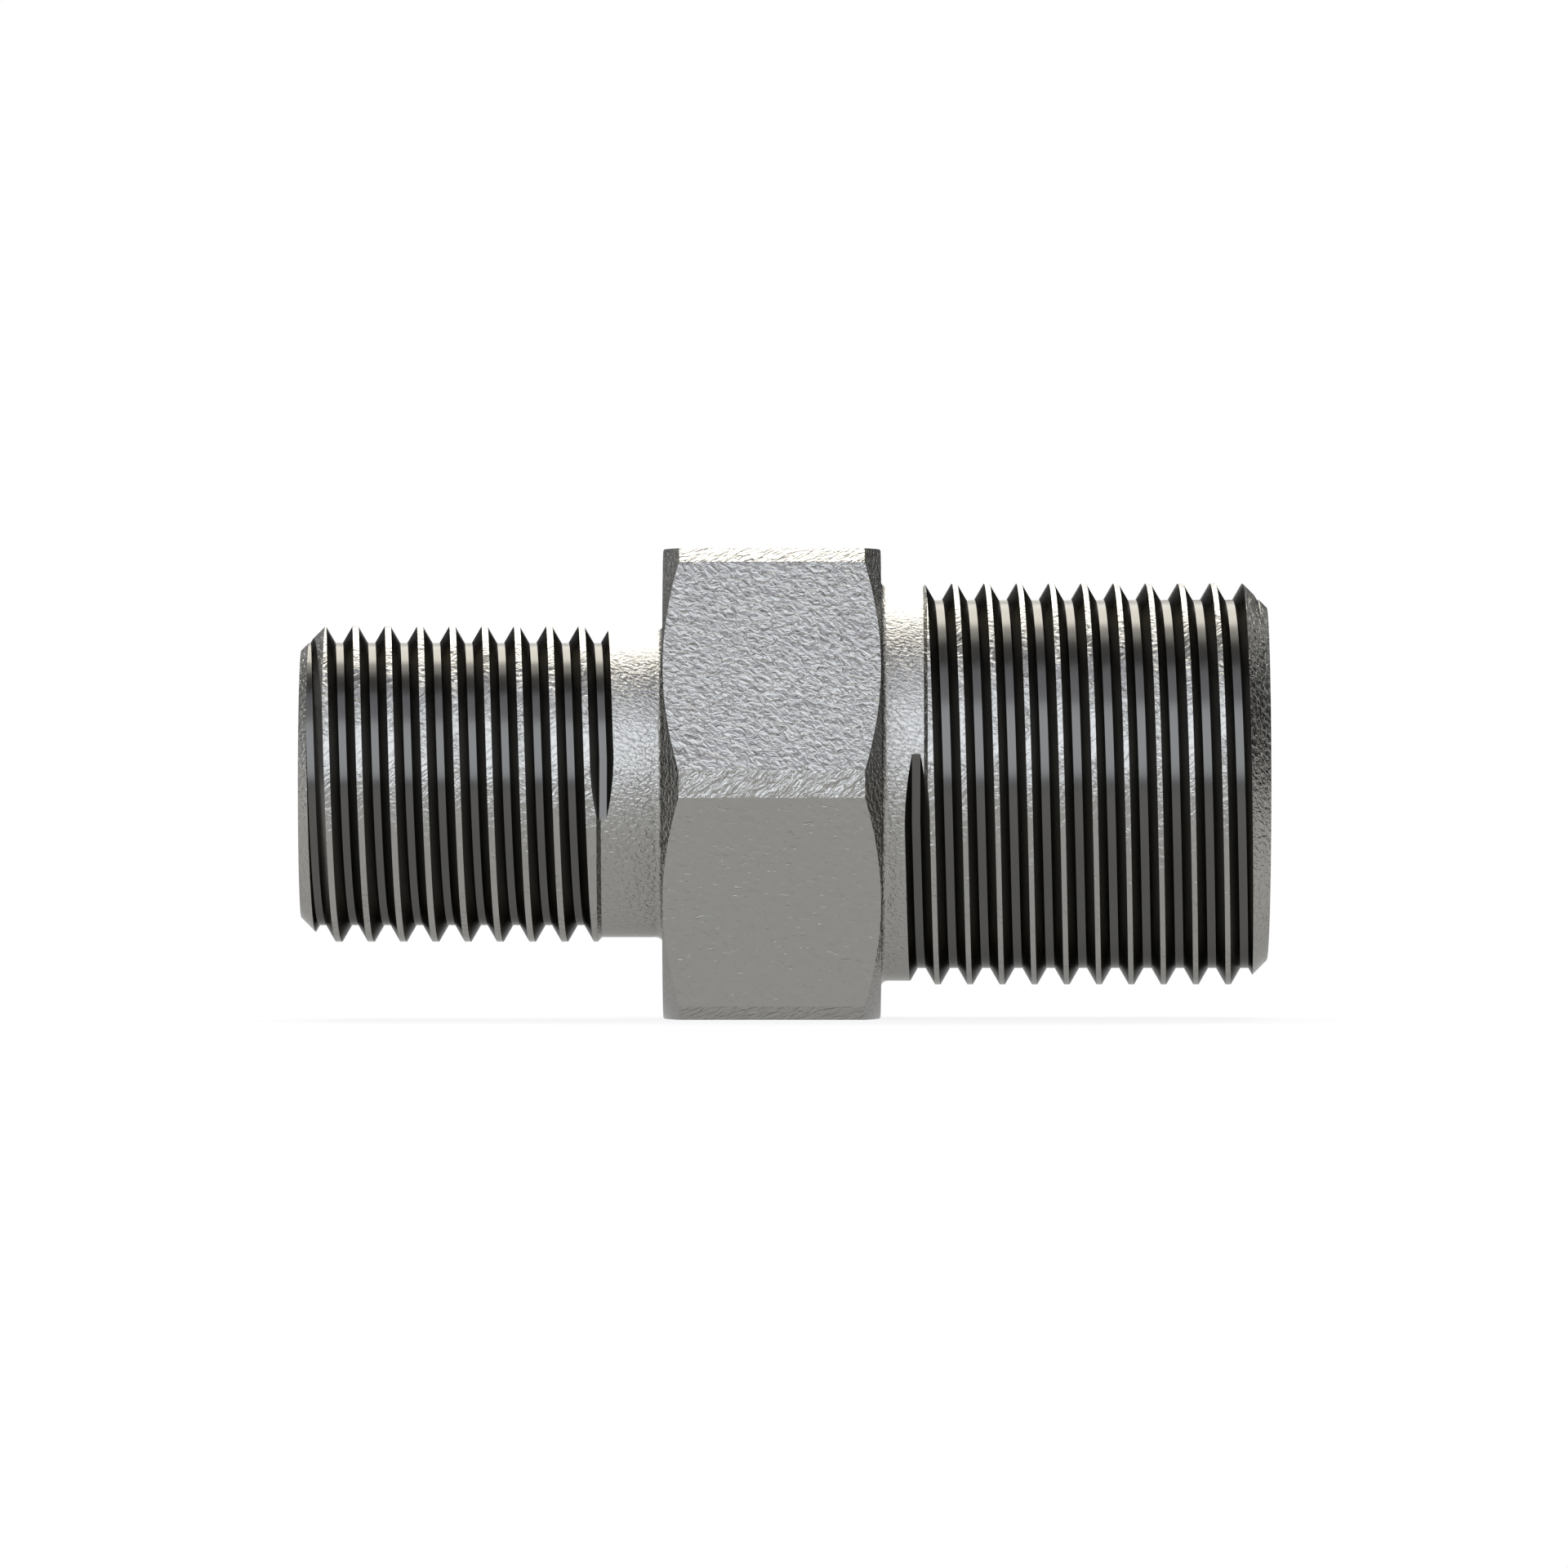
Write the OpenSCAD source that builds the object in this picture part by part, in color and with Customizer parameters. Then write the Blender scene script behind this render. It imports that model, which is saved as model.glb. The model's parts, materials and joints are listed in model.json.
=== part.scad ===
// Reducing hexagon nipple: two male parallel pipe threads of different size on one turned body.
// X is the axis, the small end points to -X and the large end to +X, and the origin is at mid-length.
// A flat of the hexagon faces down, so the nipple lies on it with Z up.

/* [Lengths] */
// from the hexagon to the face of the small end
small_l = 15; // [9:0.5:30]
// width of the hexagon along the axis
hex_w = 9; // [4:0.5:20]
// from the hexagon to the face of the large end
large_l = 16; // [9:0.5:30]

/* [Hexagon] */
// distance between two opposite flats
hex_af = 19.42; // [18.5:0.01:30]
// how far each corner is turned back from a sharp hexagon
hex_corner_cut = 0.31; // [0.05:0.01:0.8]
// how far the turned faces stay inside the flats
hex_face_cut = 0.05; // [0.02:0.01:0.5]
// slope of the turned chamfer between the faces and the corners
hex_chamfer_a = 29; // [10:1:45]

/* [Small thread] */
// diameter over the crests
small_major_d = 13.07; // [11:0.01:15.5]
// width of the crest's flat
small_crest_w = 0.25; // [0.1:0.005:0.4]
// how far the plain neck lies below the crests
small_relief = 0.185; // [0.02:0.005:0.4]
// from the hexagon to the middle of the last groove, where it leaves the metal
small_runout_l = 2.44; // [1.2:0.01:5]
// turn of that point about the axis
small_runout_a = -80; // [-180:1:180]
// from that groove's middle to the end of the plain neck
small_step_l = 0.09; // [-0.3:0.01:0.5]

/* [Large thread] */
// diameter over the crests
large_major_d = 16.62; // [15:0.01:18]
// width of the crest's flat
large_crest_w = 0.215; // [0.1:0.005:0.4]
// how far the plain neck lies below the crests
large_relief = 0.155; // [0.02:0.005:0.4]
// from the hexagon to the middle of the first groove, where it enters the metal
large_runout_l = 1.42; // [1.2:0.01:5]
// turn of that point about the axis
large_runout_a = -78; // [-180:1:180]
// from that groove's middle to the end of the plain neck
large_step_l = 0.32; // [-0.3:0.01:0.5]

/* [Thread form] */
// threads in 25.4 mm
threads_per_inch = 19; // [18:1:20]
// depth of the groove below the crest
thread_depth = 0.68; // [0.4:0.01:0.7]
// angle between the two flanks
thread_angle = 60; // [50:1:60]
// straight steps in one turn of the groove
groove_steps = 36; // [24:4:44]
// chamfer at the end faces
end_chamfer = 1; // [0.3:0.05:1.1]
// fillet between a neck and the hexagon
neck_fillet = 0.3; // [0.1:0.05:0.5]
// straight steps in each fillet
fillet_steps = 6; // [3:1:12]

/* [Bore] */
// hole through the small end and the hexagon
small_bore_d = 6; // [3:0.1:7]
// hole in the large end
large_bore_d = 9.4; // [8:0.1:10]
// how far the large hole reaches past the large end's neck into the hexagon
large_bore_past = 1; // [0:0.1:3]
// angle of the drill point between the two holes
drill_a = 118; // [90:1:140]
// angle of the seat cone in each mouth
seat_a = 60; // [50:1:74]
// flat face left around the small seat
small_rim = 0.8; // [0.4:0.05:1]
// flat face left around the large seat
large_rim = 0.8; // [0.4:0.05:1]

/* [Hidden] */
pitch = 25.4 / threads_per_inch;
flank_a = thread_angle / 2;
small_end_x = -(small_l + hex_w + large_l) / 2;
hex_x0 = small_end_x + small_l;
hex_x1 = hex_x0 + hex_w;
large_end_x = hex_x1 + large_l;
hex_corner_r = hex_af / 2 / cos(30) - hex_corner_cut;
hex_face_r = hex_af / 2 - hex_face_cut;
small_crest_r = small_major_d / 2;
large_crest_r = large_major_d / 2;
small_seat_r = small_crest_r - end_chamfer - small_rim;
large_seat_r = large_crest_r - end_chamfer - large_rim;
// how far a cutting body reaches past the surface it opens
past = 1;
steel = [0.56, 0.56, 0.55];

nipple();

module nipple() {
    color(steel)
        difference() {
            intersection() {
                hexagon_bar();
                turned_blank();
            }
            translate([hex_x0, 0, 0]) rotate([0, -90, 0])
                thread_groove(small_l, small_crest_r, small_crest_w, small_runout_l, small_runout_a);
            translate([hex_x1, 0, 0]) rotate([0, 90, 0])
                thread_groove(large_l, large_crest_r, large_crest_w, large_runout_l, large_runout_a);
            stepped_bore();
        }
}

// The bar that the nipple is turned from. Its flats are left on the hexagon alone.
module hexagon_bar() {
    translate([small_end_x - past, 0, 0]) rotate([0, 90, 0]) rotate([0, 0, 30])
        cylinder(h = large_end_x - small_end_x + 2 * past, r = hex_af / 2 / cos(30), $fn = 6);
}

// Everything that is turned on the outside before the threads are cut.
module turned_blank() {
    chamfer_l = (hex_corner_r - hex_face_r) * tan(hex_chamfer_a);
    small = end_outline(hex_x0, -1, small_l, small_crest_r, small_crest_r - small_relief,
                        small_runout_l + small_step_l);
    large = end_outline(hex_x1, 1, large_l, large_crest_r, large_crest_r - large_relief,
                        large_runout_l + large_step_l);
    rotate([0, 90, 0])
        rotate_extrude($fn = 96)
            polygon(concat(
                [[0, small_end_x]],
                small,
                [[hex_face_r, hex_x0], [hex_corner_r, hex_x0 + chamfer_l],
                 [hex_corner_r, hex_x1 - chamfer_l], [hex_face_r, hex_x1]],
                [for (i = [len(large) - 1:-1:0]) large[i]],
                [[0, large_end_x]]));
}

// Half of one end's section, as [radius, x] from the end face to the hexagon's face at x0.
// It has a chamfer, the crests, a small step down to the neck and a fillet. side is -1 towards -X.
function end_outline(x0, side, l, crest_r, neck_r, neck_l) = concat(
    [[crest_r - end_chamfer, x0 + side * l], [crest_r, x0 + side * (l - end_chamfer)],
     [crest_r, x0 + side * (neck_l + crest_r - neck_r)], [neck_r, x0 + side * neck_l]],
    [for (i = [0:fillet_steps])
        let (a = 90 * i / fillet_steps)
        [neck_r + neck_fillet * (1 - cos(a)), x0 + side * neck_fillet * (1 - sin(a))]]
);

// The groove that a threading tool cuts: a right-hand helix from the run-out to past the end face.
// At the run-out the tool leaves the metal along a tangent, square to the axis.
module thread_groove(l, crest_r, crest_w, runout_l, runout_a) {
    root_r = crest_r - thread_depth;
    root_w = pitch - crest_w - 2 * thread_depth * tan(flank_a);
    // the open side lies just outside the crests, also halfway between two steps
    open_r = (crest_r + crest_w / 3) / cos(180 / groove_steps);
    open_w = root_w + 2 * (open_r - root_r) * tan(flank_a);
    exit_l = sqrt(pow(crest_r, 2) - pow(root_r, 2)) + past / 2;
    steps = ceil((l + pitch - runout_l) / pitch * groove_steps);

    // one cross-section: the root's two corners, then the open side's, turned by a and moved back
    function section(a, z, back) = [
        for (c = [[root_r, -root_w / 2], [root_r, root_w / 2], [open_r, open_w / 2], [open_r, -open_w / 2]])
            [c[0] * cos(a) + back * sin(a), c[0] * sin(a) - back * cos(a), z + c[1]]
    ];
    sections = concat(
        [section(runout_a, runout_l, exit_l)],
        [for (i = [0:steps])
            section(runout_a + i * 360 / groove_steps, runout_l + i * pitch / groove_steps, 0)]);
    last = 4 * (len(sections) - 1);
    sides = [
        for (i = [0:len(sections) - 2], k = [0:3])
            let (a = 4 * i + k, b = 4 * i + (k + 1) % 4)
            each [[a, a + 4, b + 4], [a, b + 4, b]]
    ];
    ends = [[0, 1, 2], [0, 2, 3], [last, last + 2, last + 1], [last, last + 3, last + 2]];
    polyhedron(points = [for (s = sections) each s], faces = concat(sides, ends));
}

// The passage: a small hole, a drill point up to the large hole, and a seat cone in each mouth.
module stepped_bore() {
    small_r = small_bore_d / 2;
    large_r = large_bore_d / 2;
    drill_l = (large_r - small_r) / tan(drill_a / 2);
    large_x0 = hex_x1 - large_bore_past;
    translate([small_end_x - past, 0, 0]) rotate([0, 90, 0])
        cylinder(h = large_x0 - small_end_x + past, r = small_r, $fn = 96);
    translate([large_x0 - drill_l, 0, 0]) rotate([0, 90, 0])
        cylinder(h = drill_l, r1 = small_r, r2 = large_r, $fn = 96);
    translate([large_x0, 0, 0]) rotate([0, 90, 0])
        cylinder(h = large_end_x - large_x0 + past, r = large_r, $fn = 96);
    translate([small_end_x, 0, 0]) rotate([0, 90, 0])
        seat_cone(small_seat_r, small_r);
    translate([large_end_x, 0, 0]) rotate([0, -90, 0])
        seat_cone(large_seat_r, large_r);
}

// A seat cone with its mouth at z = 0, narrowing upwards to the hole.
module seat_cone(mouth_r, hole_r) {
    slope = tan(seat_a / 2);
    translate([0, 0, -past])
        cylinder(h = (mouth_r - hole_r) / slope + past, r1 = mouth_r + past * slope, r2 = hole_r, $fn = 96);
}
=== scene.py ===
import json
import math
from collections import namedtuple

import bmesh
import bpy
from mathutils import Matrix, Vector


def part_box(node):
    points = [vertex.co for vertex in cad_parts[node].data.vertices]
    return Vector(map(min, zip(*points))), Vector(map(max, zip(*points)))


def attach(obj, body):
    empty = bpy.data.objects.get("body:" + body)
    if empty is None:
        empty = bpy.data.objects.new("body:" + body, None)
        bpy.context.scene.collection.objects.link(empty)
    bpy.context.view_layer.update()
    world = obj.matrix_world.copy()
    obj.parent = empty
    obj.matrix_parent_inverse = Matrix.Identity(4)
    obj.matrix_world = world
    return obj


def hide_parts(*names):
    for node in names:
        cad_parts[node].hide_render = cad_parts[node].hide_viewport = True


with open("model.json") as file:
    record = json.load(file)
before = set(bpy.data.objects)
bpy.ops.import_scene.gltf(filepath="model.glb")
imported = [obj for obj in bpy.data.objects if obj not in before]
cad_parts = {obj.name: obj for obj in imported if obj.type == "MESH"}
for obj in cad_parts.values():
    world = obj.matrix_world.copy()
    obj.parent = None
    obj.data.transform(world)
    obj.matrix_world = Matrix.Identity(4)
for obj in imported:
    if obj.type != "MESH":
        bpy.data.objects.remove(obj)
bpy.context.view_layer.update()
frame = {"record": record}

MM = 0.001
MOUNTS = {mount["name"]: mount for mount in frame["record"]["mounts"]}


def mount_x(name):
    return MOUNTS[name]["pos_m"][0]


def mount_r(name):
    return MOUNTS[name]["dims"]["r_mm"] * MM


def mount_length(name):
    return MOUNTS[name]["dims"]["length_mm"] * MM


# The body's outline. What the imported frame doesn't say is repeated from the part's source.
LOWEST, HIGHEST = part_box("nipple")
HEX_X0 = mount_x("seal_face_small")
HEX_X1 = mount_x("seal_face_large")
HEX_AF = HIGHEST.z - LOWEST.z
HEX_SIDES = 6
HEX_HALF_ANGLE = math.radians(180 / HEX_SIDES)
HEX_CORNER_R = HIGHEST.y
HEX_FACE_CUT = 0.05 * MM
HEX_FACE_R = HEX_AF / 2 - HEX_FACE_CUT
HEX_CHAMFER_ANGLE = math.radians(29)
NECK_FILLET = 0.3 * MM
END_CHAMFER = 1.0 * MM
END_RIM = 0.8 * MM
DRILL_ANGLE = math.radians(118)
SEAT_ANGLE = math.radians(60)

# The threads
PITCH = 25.4 / 19 * MM
THREAD_DEPTH = 0.68 * MM
FLANK_ANGLE = math.radians(30)

# How finely curves are drawn, and how far a cutting body reaches past the surface it opens
TURN_STEPS = 240
FILLET_STEPS = 6
GROOVE_STEPS = 96
PAST = 1.0 * MM

# Material slots of the body
OUTER, ROOT, FLANK, BORE = range(4)

# Edges sharper than this stay crisp
SHARP_ANGLE = math.radians(20)

# The hammered texture, in millimetres on the unrolled surface: short wrinkles, folds that lie the other
# way, and the patches in which the one gives way to the other
WRINKLE_L = 0.38
WRINKLE_W = 0.25
WRINKLE_ANGLE = math.radians(23)
FOLD_L = 0.6
FOLD_W = 0.22
FOLD_ANGLE = math.radians(-45)
PATCH_SIZE = 2.5
PATCH_EDGE = (0.45, 0.55)
MOTTLE_SIZE = 0.4
WRINKLE_DEPTH = 0.08 * MM

# How the texture sits on each kind of surface. lie is 0 for wrinkles, 1 for folds and 0.5 for patches of
# both. Relief 2 is twice as deep as relief 1, and fineness 2 is half the size of fineness 1.
Skin = namedtuple("Skin", "lie relief fineness")
FLAT = Skin(lie=0.0, relief=1.35, fineness=1.0)
CORNER = Skin(lie=1.0, relief=2.5, fineness=1.0)
CREST = Skin(lie=0.5, relief=1.5, fineness=1.25)
NECK = Skin(lie=0.0, relief=0.8, fineness=1.8)
STEEP = Skin(lie=0.0, relief=1.05, fineness=1.3)

# A face is steep, as on a chamfer or an end, where its normal's share along the axis is more than this
STEEP_SHARE = 0.4

# Darkest and palest colour of each steel, and its least and greatest roughness. The colours of the cut steel
# are multiplied by the tone of the groove's root or flanks. The flanks' tone is painted light: the same cut
# steel as the roots, painted about twice as light for the light that falls on the flanks.
SATIN = ((0.271, 0.266, 0.249), (0.302, 0.297, 0.278))
SATIN_ROUGHNESS = (0.13, 0.19)
TURNED = ((0.25, 0.245, 0.23), (0.32, 0.315, 0.30))
TURNED_ROUGHNESS = (0.2, 0.32)
CUT = (Vector((0.95, 0.93, 0.87)), Vector((1.05, 1.03, 0.97)))
CUT_ROUGHNESS = (0.2, 0.26)
ROOT_SHADE = 0.092
# Painted light: the flanks are the roots' cut steel painted about twice as light, for the light they catch
FLANK_TONE_PAINTED_LIGHTER = 0.18

# Marks of the cutting tools: how often they change in a metre along X, Y and Z, and their depth
THREAD_MARKS = (12000, 600, 600)
THREAD_MARK_DEPTH = 0.0003 * MM
BORE_MARKS = (9000, 250, 250)
BORE_MARK_DEPTH = 0.002 * MM

# The studio
AMBIENT = 0.35
FLOOR_SIDE = 4.0
FLOOR_COLOUR = (0.9, 0.9, 0.9)
FLOOR_GLOW = 0.85
FLOOR_NEAR = 0.03
FLOOR_FAR = 0.12
LAMP_DISTANCE = 0.5
CARD_DISTANCE = 0.35
COOL = (0.79, 0.86, 1.0)
BLUE = (0.43, 0.5, 1.0)
WARM = (1.0, 0.956, 0.88)

# The photograph's camera
IMAGE_SIDE = 1920
PIXELS_PER_MM = 29.544
CAMERA_DISTANCE = 0.733
CLIP_START = 0.01
CLIP_END = 10


class End:
    """One threaded end. side is -1 for the small end, which points to -X, and 1 for the large one.

    crest_w is the width of a crest. The groove runs out at runout_l from the hexagon and runout_a round the
    axis, and the neck ends step_l past that.
    """

    def __init__(self, name, side, hex_x, end_x, crest_w, runout_l, runout_a, step_l):
        self.side = side
        self.hex_x = hex_x
        self.end_x = end_x
        self.crest_r = mount_r("thread_" + name)
        self.neck_r = mount_r("neck_" + name)
        self.bore_r = mount_r("bore_" + name)
        self.crest_w = crest_w
        self.runout_l = runout_l
        self.runout_a = runout_a
        self.neck_x = hex_x + side * (runout_l + step_l)
        self.face_r = self.crest_r - END_CHAMFER
        self.seat_r = self.face_r - END_RIM

    def outline(self):
        """(x, r, slot) from the bore to the hexagon's face. The stretch that starts there has that slot."""
        seat_l = (self.seat_r - self.bore_r) / math.tan(SEAT_ANGLE / 2)
        step_x = self.neck_x + self.side * (self.crest_r - self.neck_r)
        points = [
            (self.end_x - self.side * seat_l, self.bore_r, BORE),
            (self.end_x, self.seat_r, OUTER),
            (self.end_x, self.face_r, OUTER),
            (self.end_x - self.side * END_CHAMFER, self.crest_r, OUTER),
            (step_x, self.crest_r, OUTER),
            (self.neck_x, self.neck_r, OUTER),
        ]
        for i in range(FILLET_STEPS + 1):
            a = math.radians(90) * i / FILLET_STEPS
            x = self.hex_x + self.side * NECK_FILLET * (1 - math.sin(a))
            points.append((x, self.neck_r + NECK_FILLET * (1 - math.cos(a)), OUTER))
        return points

    def groove_section(self, angle, along, back=0.0):
        """The four corners of the groove's section, turned by angle and moved back along the tangent.

        The open side lies just outside the crests.
        """
        root_r = self.crest_r - THREAD_DEPTH
        root_w = PITCH - self.crest_w - 2 * THREAD_DEPTH * math.tan(FLANK_ANGLE)
        open_r = self.crest_r + self.crest_w / 3
        open_w = root_w + 2 * (open_r - root_r) * math.tan(FLANK_ANGLE)
        corners = [(root_r, -root_w), (root_r, root_w), (open_r, open_w), (open_r, -open_w)]
        section = []
        for r, width in corners:
            down = r * math.cos(angle) + back * math.sin(angle)
            out = r * math.sin(angle) - back * math.cos(angle)
            x = self.hex_x + self.side * (along + width / 2)
            section.append((x, out, -self.side * down))
        return section

    def groove_sections(self):
        """The run-out, square to the axis, and then the helix to past the end face."""
        root_r = self.crest_r - THREAD_DEPTH
        exit_l = math.sqrt(self.crest_r**2 - root_r**2) + PAST / 2
        length = abs(self.end_x - self.hex_x) + PITCH - self.runout_l
        sections = [self.groove_section(self.runout_a, self.runout_l, exit_l)]
        for i in range(math.ceil(length / PITCH * GROOVE_STEPS) + 1):
            turns = i / GROOVE_STEPS
            angle = self.runout_a + turns * math.tau
            sections.append(self.groove_section(angle, self.runout_l + turns * PITCH))
        return sections


SMALL = End(
    "small",
    side=-1,
    hex_x=HEX_X0,
    end_x=LOWEST.x,
    crest_w=0.25 * MM,
    runout_l=2.44 * MM,
    runout_a=math.radians(-80),
    step_l=0.09 * MM,
)
LARGE = End(
    "large",
    side=1,
    hex_x=HEX_X1,
    end_x=HIGHEST.x,
    crest_w=0.215 * MM,
    runout_l=1.42 * MM,
    runout_a=math.radians(-78),
    step_l=0.32 * MM,
)


def new_object(name, points, faces, slots):
    """A closed mesh with its normals outwards. slots holds the material slot of each face."""
    mesh = bpy.data.meshes.new(name)
    mesh.from_pydata(points, [], faces)
    mesh.polygons.foreach_set("material_index", slots)
    work = bmesh.new()
    work.from_mesh(mesh)
    bmesh.ops.recalc_face_normals(work, faces=work.faces)
    work.to_mesh(mesh)
    work.free()
    made = bpy.data.objects.new(name, mesh)
    bpy.context.collection.objects.link(made)
    return made


def turned_outline():
    """(x, r, slot) all the way round half of the section: both ends, the hexagon and the stepped bore."""
    chamfer_l = (HEX_CORNER_R - HEX_FACE_R) * math.tan(HEX_CHAMFER_ANGLE)
    hexagon = [
        (HEX_X0, HEX_FACE_R, OUTER),
        (HEX_X0 + chamfer_l, HEX_CORNER_R, OUTER),
        (HEX_X1 - chamfer_l, HEX_CORNER_R, OUTER),
        (HEX_X1, HEX_FACE_R, OUTER),
    ]
    drill_x = mount_x("bore_large") - mount_length("bore_large")
    drill_l = (LARGE.bore_r - SMALL.bore_r) / math.tan(DRILL_ANGLE / 2)
    bore = [(drill_x, LARGE.bore_r, BORE), (drill_x - drill_l, SMALL.bore_r, BORE)]
    # the large end is walked backwards, so there each point has the slot of the point that follows it
    large = LARGE.outline()
    slots = [BORE] + [slot for _, _, slot in large]
    back = [(x, r, slot) for (x, r, _), slot in zip(large, slots)][::-1]
    return SMALL.outline() + hexagon + back + bore


def turned_blank():
    """The outline, turned about X."""
    outline = turned_outline()
    points, faces, slots = [], [], []
    for step in range(TURN_STEPS):
        angle = math.tau * step / TURN_STEPS
        for x, r, _ in outline:
            points.append((x, r * math.cos(angle), r * math.sin(angle)))
    count = len(outline)
    for step in range(TURN_STEPS):
        here, there = step * count, (step + 1) % TURN_STEPS * count
        for i in range(count):
            j = (i + 1) % count
            faces.append((here + i, here + j, there + j, there + i))
            slots.append(outline[i][2])
    return new_object("blank", points, faces, slots)


def hexagon_bar():
    """Hexagonal bar stock, longer than the nipple, with a flat facing down."""
    r = HEX_AF / 2 / math.cos(HEX_HALF_ANGLE)
    points = []
    for x in (LOWEST.x - PAST, HIGHEST.x + PAST):
        for corner in range(HEX_SIDES):
            angle = math.radians(360 * corner / HEX_SIDES)
            points.append((x, r * math.cos(angle), r * math.sin(angle)))
    faces = [tuple(range(HEX_SIDES)), tuple(range(HEX_SIDES, 2 * HEX_SIDES))]
    for i in range(HEX_SIDES):
        j = (i + 1) % HEX_SIDES
        faces.append((i, j, HEX_SIDES + j, HEX_SIDES + i))
    return new_object("bar", points, faces, [OUTER] * len(faces))


def thread_groove(end):
    """What the threading tool cuts away, as a closed mesh through all the sections."""
    sections = end.groove_sections()
    points = [point for section in sections for point in section]
    last = len(points) - 4
    faces = [(0, 1, 2, 3), (last, last + 1, last + 2, last + 3)]
    slots = [FLANK] * len(faces)
    for start in range(0, last, 4):
        for k in range(4):
            a, b = start + k, start + (k + 1) % 4
            faces.append((a, a + 4, b + 4, b))
            slots.append(ROOT if k == 0 else FLANK)
    return new_object("groove", points, faces, slots)


def combine(body, tool, operation):
    modifier = body.modifiers.new(tool.name, "BOOLEAN")
    modifier.object = tool
    modifier.operation = operation
    modifier.solver = "MANIFOLD"


def machined_body():
    """The nipple as one mesh: bar stock cut to the turned outline, with both grooves cut out."""
    blank = turned_blank()
    bar = hexagon_bar()
    grooves = [thread_groove(SMALL), thread_groove(LARGE)]
    combine(blank, bar, "INTERSECT")
    for groove in grooves:
        combine(blank, groove, "DIFFERENCE")
    depsgraph = bpy.context.evaluated_depsgraph_get()
    mesh = bpy.data.meshes.new_from_object(blank.evaluated_get(depsgraph))
    mesh.name = "nipple_body"
    for helper in [blank, bar, *grooves]:
        bpy.data.objects.remove(helper, do_unlink=True)
    body = bpy.data.objects.new("nipple_body", mesh)
    bpy.context.collection.objects.link(body)
    return body


def soft_edges(mesh):
    """Shades round surfaces smoothly and keeps every machined edge sharp."""
    mesh.polygons.foreach_set("use_smooth", [True] * len(mesh.polygons))
    mesh.set_sharp_from_angle(angle=SHARP_ANGLE)


def skin_of(face, turn, round_r):
    """The kind of surface that a face of the body belongs to. turn is 0 on the camera's side."""
    middle = face.center
    if abs(face.normal.x) > STEEP_SHARE:
        return STEEP
    if not HEX_X0 < middle.x < HEX_X1:
        end = SMALL if middle.x < HEX_X0 else LARGE
        return CREST if round_r > (end.crest_r + end.neck_r) / 2 else NECK
    corner_span = math.acos(HEX_AF / 2 / HEX_CORNER_R)
    to_flat = abs((turn + math.tau) % (2 * HEX_HALF_ANGLE) - HEX_HALF_ANGLE)
    return FLAT if to_flat < corner_span else CORNER


def lay_grain(mesh):
    """Stores where the hammered texture lies on the body.

    The grain's x and y run along and round the nipple in millimetres of the unrolled surface, times the
    skin's fineness, and its z is the skin's lie. The relief is kept for each face.
    """
    grain = mesh.attributes.new("grain", "FLOAT_VECTOR", "CORNER")
    relief = mesh.attributes.new("relief", "FLOAT", "FACE")
    for face in mesh.polygons:
        middle = face.center
        round_r = math.hypot(middle.y, middle.z)
        turn = math.atan2(middle.z, -middle.y)
        skin = skin_of(face, turn, round_r)
        relief.data[face.index].value = skin.relief
        for loop in face.loop_indices:
            point = mesh.vertices[mesh.loops[loop].vertex_index].co
            swing = math.atan2(point.z, -point.y) - turn
            swing = (swing + math.pi) % math.tau - math.pi
            # a steep face unrolls inwards, towards the axis
            inward = math.copysign(math.hypot(point.y, point.z), face.normal.x)
            along = point.x - (inward if skin is STEEP else 0.0)
            around = (turn + swing) * round_r
            grain.data[loop].vector = (along / MM * skin.fineness, around / MM * skin.fineness, skin.lie)


class Nodes:
    """Small helpers for one material's or world's nodes."""

    def __init__(self, tree):
        self.tree = tree
        tree.nodes.clear()

    def feed(self, socket, value):
        if isinstance(value, bpy.types.NodeSocket):
            self.tree.links.new(value, socket)
        else:
            socket.default_value = value

    def add(self, kind, inputs=(), **settings):
        node = self.tree.nodes.new(kind)
        for key, value in settings.items():
            setattr(node, key, value)
        for key, value in dict(inputs).items():
            self.feed(node.inputs[key], value)
        return node

    def maths(self, operation, *values):
        return self.add("ShaderNodeMath", dict(enumerate(values)), operation=operation).outputs[0]

    def noise(self, place, scale, detail=2.0, distortion=0.0):
        inputs = {"Vector": place, "Scale": scale, "Detail": detail, "Distortion": distortion}
        return self.add("ShaderNodeTexNoise", inputs).outputs["Fac"]

    def spread(self, value, low, high):
        """value from 0 to 1 brought to low to high."""
        inputs = {"Value": value, "To Min": low, "To Max": high}
        return self.add("ShaderNodeMapRange", inputs).outputs["Result"]

    def ramp(self, value, low, high):
        """value from low to high brought to 0 to 1, smoothly."""
        inputs = {"Value": value, "From Min": low, "From Max": high}
        return self.add("ShaderNodeMapRange", inputs, interpolation_type="SMOOTHSTEP").outputs["Result"]

    def stretched(self, place, scale):
        return self.add("ShaderNodeMapping", {"Vector": place, "Scale": scale}).outputs[0]

    def colours(self, share, first, second):
        """first where share is 0 and second where it is 1."""
        node = self.add("ShaderNodeMix", data_type="RGBA")
        inputs = {"Factor": share, "A": (*first, 1.0), "B": (*second, 1.0)}
        # the node has a Factor, A and B of each data type, and only those in use are enabled
        for key, value in inputs.items():
            self.feed(next(socket for socket in node.inputs if socket.name == key and socket.enabled), value)
        return next(socket for socket in node.outputs if socket.enabled)


def new_material(name):
    material = bpy.data.materials.new(name)
    material.use_nodes = True
    return material, Nodes(material.node_tree)


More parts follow.
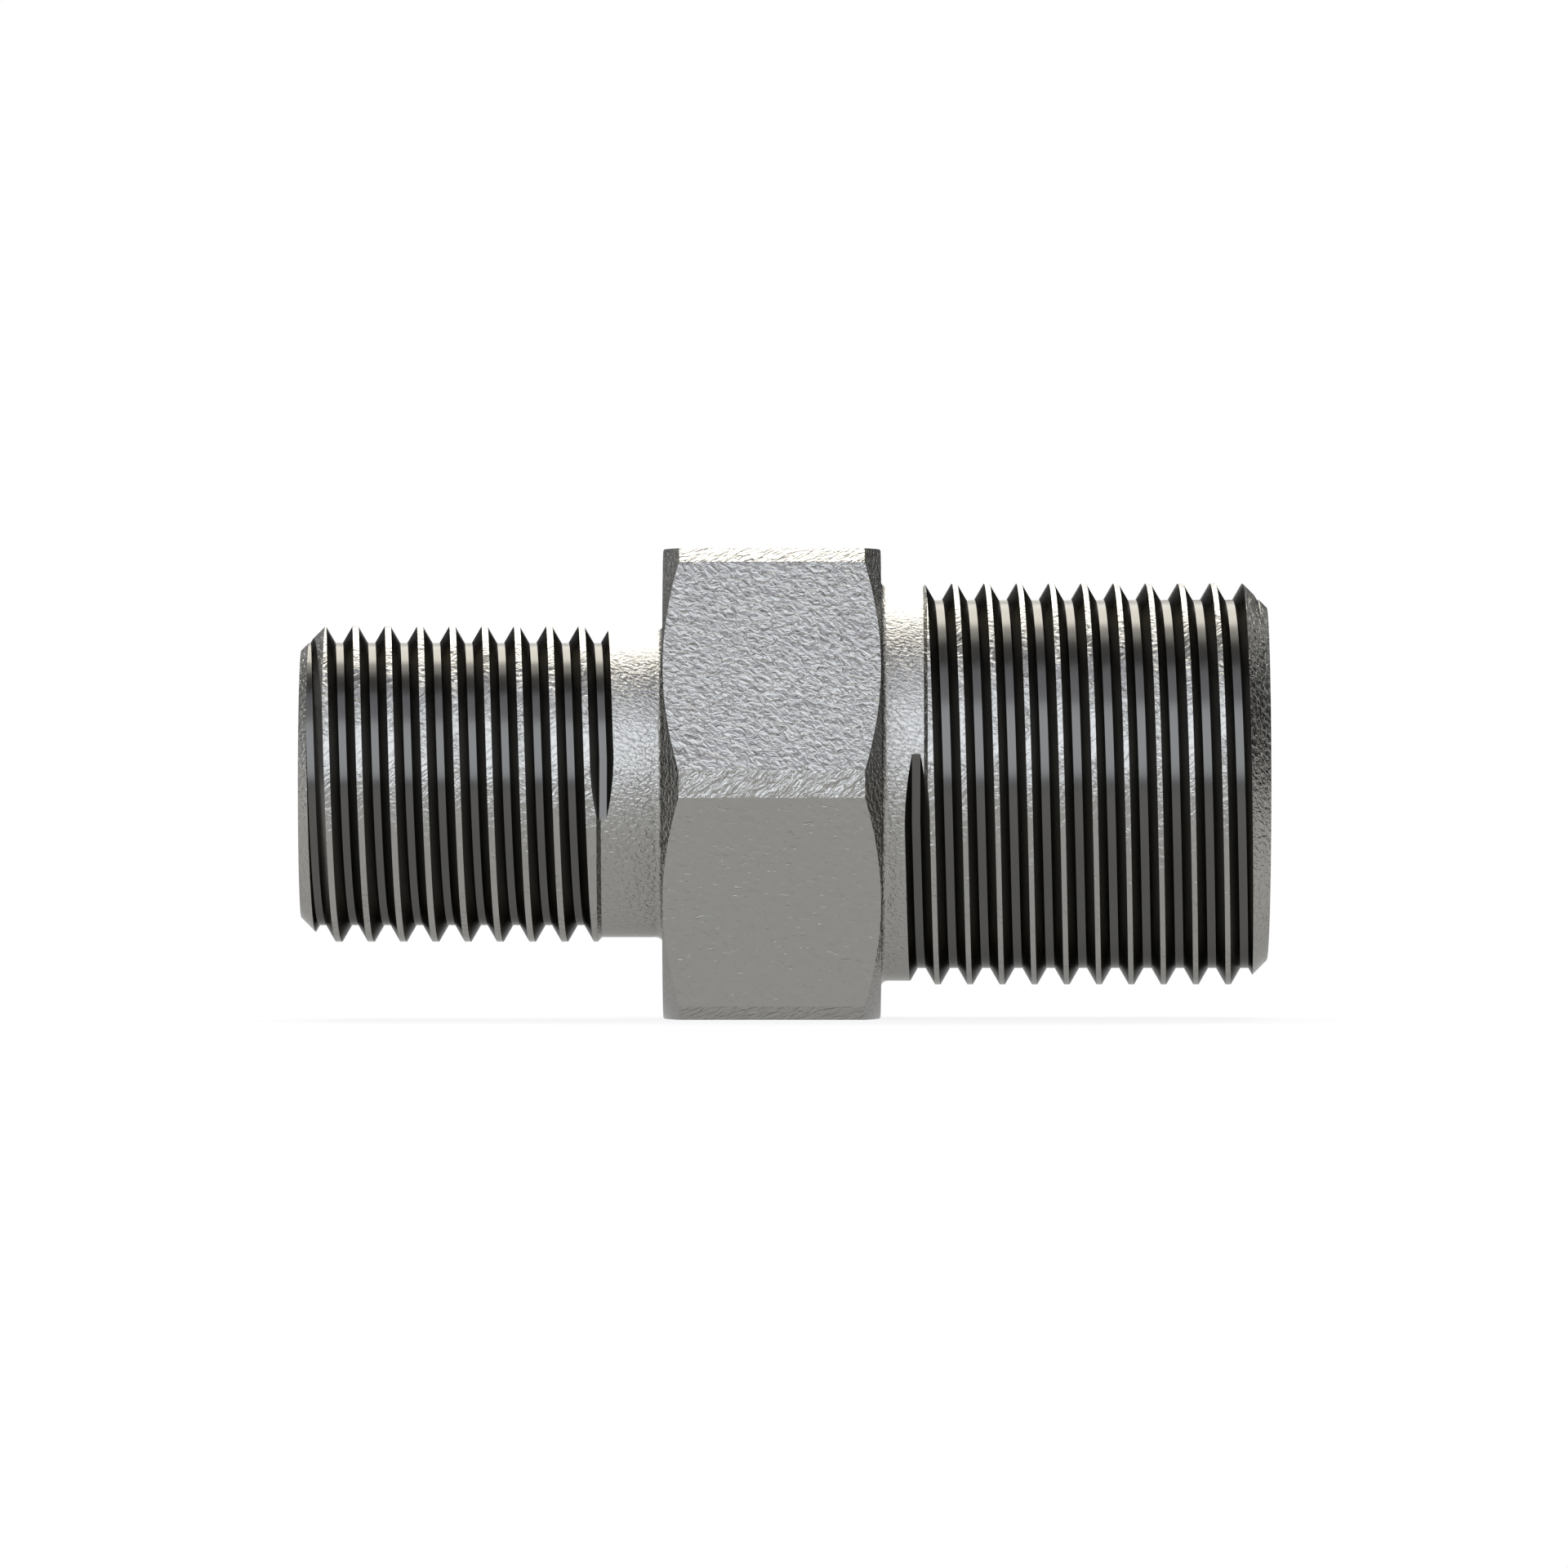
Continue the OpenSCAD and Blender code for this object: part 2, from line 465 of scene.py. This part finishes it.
def finish_metal(nodes, colour, roughness, height, depth, edge):
    """edge is how bright the metal stays where it is seen at a flat angle."""
    bump = nodes.add("ShaderNodeBump", {"Height": height, "Distance": depth, "Strength": 1.0})
    inputs = {"Base Color": colour, "Metallic": 1.0, "Roughness": roughness, "Normal": bump.outputs[0]}
    inputs["Specular Tint"] = (edge, edge, edge, 1.0)
    shader = nodes.add("ShaderNodeBsdfPrincipled", inputs)
    nodes.add("ShaderNodeOutputMaterial", {"Surface": shader.outputs[0]})


def wrinkles(nodes, place, angle, length, width):
    """Short wrinkles that lie at an angle on the unrolled surface."""
    turned = nodes.add("ShaderNodeMapping", {"Vector": place, "Rotation": (0, 0, angle)}).outputs[0]
    scaled = nodes.stretched(turned, (1 / length, 1 / width, 1))
    return nodes.noise(scaled, 1.0, detail=3.0, distortion=0.8)


def hammered_steel():
    """The outside: satin plating with a fine hammered skin, laid by lay_grain."""
    material, nodes = new_material("hammered_steel")
    grain = nodes.add("ShaderNodeAttribute", attribute_name="grain").outputs["Vector"]
    relief = nodes.add("ShaderNodeAttribute", attribute_name="relief").outputs["Fac"]
    along, around, lie = nodes.add("ShaderNodeSeparateXYZ", {0: grain}).outputs
    flat = nodes.add("ShaderNodeCombineXYZ", {0: along, 1: around}).outputs[0]

    short = wrinkles(nodes, flat, WRINKLE_ANGLE, WRINKLE_L, WRINKLE_W)
    folds = wrinkles(nodes, flat, FOLD_ANGLE, FOLD_L, FOLD_W)
    patches = nodes.noise(flat, 1 / PATCH_SIZE, detail=1.0)
    folded = nodes.ramp(nodes.maths("ADD", nodes.maths("SUBTRACT", patches, 0.5), lie), *PATCH_EDGE)
    first = nodes.maths("MULTIPLY", short, nodes.maths("SUBTRACT", 1.0, folded))
    second = nodes.maths("MULTIPLY", nodes.maths("MULTIPLY", folds, lie), folded)
    height = nodes.maths("MULTIPLY", nodes.maths("ADD", first, second), relief)

    mottle = nodes.noise(flat, 1 / MOTTLE_SIZE, detail=3.0)
    colour = nodes.colours(mottle, *SATIN)
    roughness = nodes.spread(mottle, *SATIN_ROUGHNESS)
    finish_metal(nodes, colour, roughness, height, WRINKLE_DEPTH, edge=0.6)
    return material


def cut_steel(name, tone_and_painted_light, edge):
    """The thread grooves: dark, smooth steel with faint lines round it from the cutting tool. For the flanks
    its colour holds painted light: a lighter copy of the roots' steel for the light that falls on the
    flanks.
    """
    material, nodes = new_material(name)
    place = nodes.add("ShaderNodeTexCoord").outputs["Object"]
    lines = nodes.noise(nodes.stretched(place, THREAD_MARKS), 1.0)
    # the colour is the groove's tone; on the flanks it is painted lighter, as painted light
    colour = nodes.colours(lines, *[tone_and_painted_light * tone for tone in CUT])
    roughness = nodes.spread(lines, *CUT_ROUGHNESS)
    finish_metal(nodes, colour, roughness, lines, THREAD_MARK_DEPTH, edge)
    return material


def bored_steel():
    """The passage and its seats: bright turned steel with fine rings."""
    material, nodes = new_material("bored_steel")
    place = nodes.add("ShaderNodeTexCoord").outputs["Object"]
    rings = nodes.noise(nodes.stretched(place, BORE_MARKS), 1.0, detail=3.0)
    colour = nodes.colours(rings, *TURNED)
    roughness = nodes.spread(rings, *TURNED_ROUGHNESS)
    finish_metal(nodes, colour, roughness, rings, BORE_MARK_DEPTH, edge=0.7)
    return material


def give_materials(mesh, *materials):
    """Puts the materials in the mesh's slots and leaves each face in the slot that it has."""
    slots = [face.material_index for face in mesh.polygons]
    mesh.materials.clear()
    for material in materials:
        mesh.materials.append(material)
    mesh.polygons.foreach_set("material_index", slots)


def seen_directly(nodes):
    """1 for what the camera, a reflection or clear glass sees, and 0 for light that falls on surfaces."""
    path = nodes.add("ShaderNodeLightPath").outputs
    seen = nodes.maths("MAXIMUM", path["Is Camera Ray"], path["Is Glossy Ray"])
    return nodes.maths("MAXIMUM", seen, path["Is Transmission Ray"])


def white_world():
    """A studio that looks white and gives the object a plain, softer light."""
    world = bpy.data.worlds.new("studio")
    bpy.context.scene.world = world
    world.use_nodes = True
    nodes = Nodes(world.node_tree)
    strength = nodes.spread(seen_directly(nodes), AMBIENT, 1.0)
    background = nodes.add("ShaderNodeBackground", {"Color": (1, 1, 1, 1), "Strength": strength})
    nodes.add("ShaderNodeOutputWorld", {"Surface": background.outputs[0]})


def floor_material():
    """A pale floor that looks white and keeps a soft shadow near the nipple."""
    material, nodes = new_material("pale_floor")
    place = nodes.add("ShaderNodeTexCoord").outputs["Object"]
    away = nodes.add("ShaderNodeVectorMath", {0: place}, operation="LENGTH").outputs["Value"]
    reach = {"From Min": FLOOR_NEAR, "From Max": FLOOR_FAR, "To Min": FLOOR_GLOW, "To Max": 1.0}
    glow = nodes.add("ShaderNodeMapRange", {"Value": away, **reach}).outputs[0]
    share = nodes.maths("MULTIPLY", glow, seen_directly(nodes))
    pale = nodes.add("ShaderNodeBsdfDiffuse", {"Color": (*FLOOR_COLOUR, 1)}).outputs[0]
    white = nodes.add("ShaderNodeEmission", {"Color": (1, 1, 1, 1), "Strength": 1.0}).outputs[0]
    mixed = nodes.add("ShaderNodeMixShader", {0: share, 1: pale, 2: white}).outputs[0]
    nodes.add("ShaderNodeOutputMaterial", {"Surface": mixed})
    return material


def card_material(name, grey):
    material, nodes = new_material(name)
    shader = nodes.add("ShaderNodeBsdfDiffuse", {"Color": (grey, grey, grey, 1)})
    nodes.add("ShaderNodeOutputMaterial", {"Surface": shader.outputs[0]})
    return material


def sheet(name, width, height, material):
    """A flat rectangle that faces its own +Z."""
    w, h = width / 2, height / 2
    mesh = bpy.data.meshes.new(name)
    mesh.from_pydata([(-w, -h, 0), (w, -h, 0), (w, h, 0), (-w, h, 0)], [], [(0, 1, 2, 3)])
    mesh.materials.append(material)
    made = bpy.data.objects.new(name, mesh)
    bpy.context.collection.objects.link(made)
    return made


def aim(thing, azimuth, elevation, distance):
    """Puts a lamp or card round the nipple, facing it, where the camera doesn't see it.

    Azimuth 0 is the camera's side and 90 is +X.
    """
    a, e = math.radians(azimuth), math.radians(elevation)
    away = Vector((math.sin(a) * math.cos(e), -math.cos(a) * math.cos(e), math.sin(e)))
    thing.location = away * distance
    thing.rotation_euler = away.to_track_quat("Z", "Y").to_euler()
    thing.visible_camera = False


def softbox(name, azimuth, elevation, width, height, brightness, colour):
    """A soft lamp that a mirror would show with this brightness, where 1 is white."""
    data = bpy.data.lights.new(name, "AREA")
    data.shape = "RECTANGLE"
    data.size = width
    data.size_y = height
    data.energy = brightness * math.pi * width * height
    data.color = colour
    lamp = bpy.data.objects.new(name, data)
    bpy.context.collection.objects.link(lamp)
    aim(lamp, azimuth, elevation, LAMP_DISTANCE)


def dark_card(name, azimuth, elevation, width, height, grey, distance=CARD_DISTANCE):
    """A grey or nearly black card that the metal mirrors, which gives its sides their contrast."""
    card = sheet(name, width, height, card_material(name, grey))
    aim(card, azimuth, elevation, distance)


def studio():
    """A white room with a cool key lamp in front, warm lamps behind and dark cards all round."""
    white_world()
    floor = sheet("floor", FLOOR_SIDE, FLOOR_SIDE, floor_material())
    floor.location.z = LOWEST.z
    softbox("key", azimuth=-14, elevation=28, width=0.72, height=0.466, brightness=2.1, colour=COOL)
    softbox("fill", azimuth=-14, elevation=67, width=0.72, height=0.18, brightness=0.35, colour=BLUE)
    softbox("rim", azimuth=183, elevation=44.75, width=0.404, height=0.32, brightness=8.5, colour=WARM)
    softbox("rim_edge", azimuth=180, elevation=71, width=0.4, height=0.15, brightness=1.2, colour=WARM)
    softbox("rim_low", azimuth=180, elevation=16.5, width=0.14, height=0.185, brightness=1.3, colour=WARM)
    dark_card("card_top", azimuth=0, elevation=90, width=0.8, height=0.12, grey=0.3, distance=0.3)
    dark_card("card_front", azimuth=0, elevation=1.2, width=0.5, height=0.03, grey=0.05)
    dark_card("card_right", azimuth=95, elevation=15, width=0.455, height=0.3, grey=0.05)
    dark_card("card_left", azimuth=-128, elevation=21, width=0.36, height=0.31, grey=0.42)
    dark_card("card_back_right", azimuth=152, elevation=6.5, width=0.312, height=0.117, grey=0.03)
    dark_card("card_back_left", azimuth=-164, elevation=3.5, width=0.149, height=0.08, grey=0.15)


def photograph_camera():
    """The photograph's view: level with the axis, straight at the middle of the nipple."""
    data = bpy.data.cameras.new("camera")
    camera = bpy.data.objects.new("camera", data)
    bpy.context.collection.objects.link(camera)
    camera.location = (0, -CAMERA_DISTANCE, 0)
    camera.rotation_euler = (math.radians(90), 0, 0)
    data.lens = PIXELS_PER_MM * CAMERA_DISTANCE / MM * data.sensor_width / IMAGE_SIDE
    data.clip_start = CLIP_START
    data.clip_end = CLIP_END
    bpy.context.scene.camera = camera


def clear_first_objects():
    """Removes what a new Blender file starts with."""
    for name in ("Cube", "Light", "Camera"):
        if name in bpy.data.objects:
            bpy.data.objects.remove(bpy.data.objects[name])


clear_first_objects()

body = machined_body()
soft_edges(body.data)
lay_grain(body.data)
root_steel = cut_steel("root_steel", ROOT_SHADE, edge=0.5)
# The flanks' steel is the roots' steel with painted light: its colour is made lighter for the light it
# catches
flank_steel = cut_steel("flank_steel", FLANK_TONE_PAINTED_LIGHTER, edge=0.15)
give_materials(body.data, hammered_steel(), root_steel, flank_steel, bored_steel())
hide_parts("nipple")
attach(body, "root")

studio()
photograph_camera()
bpy.context.scene.view_settings.view_transform = "Standard"
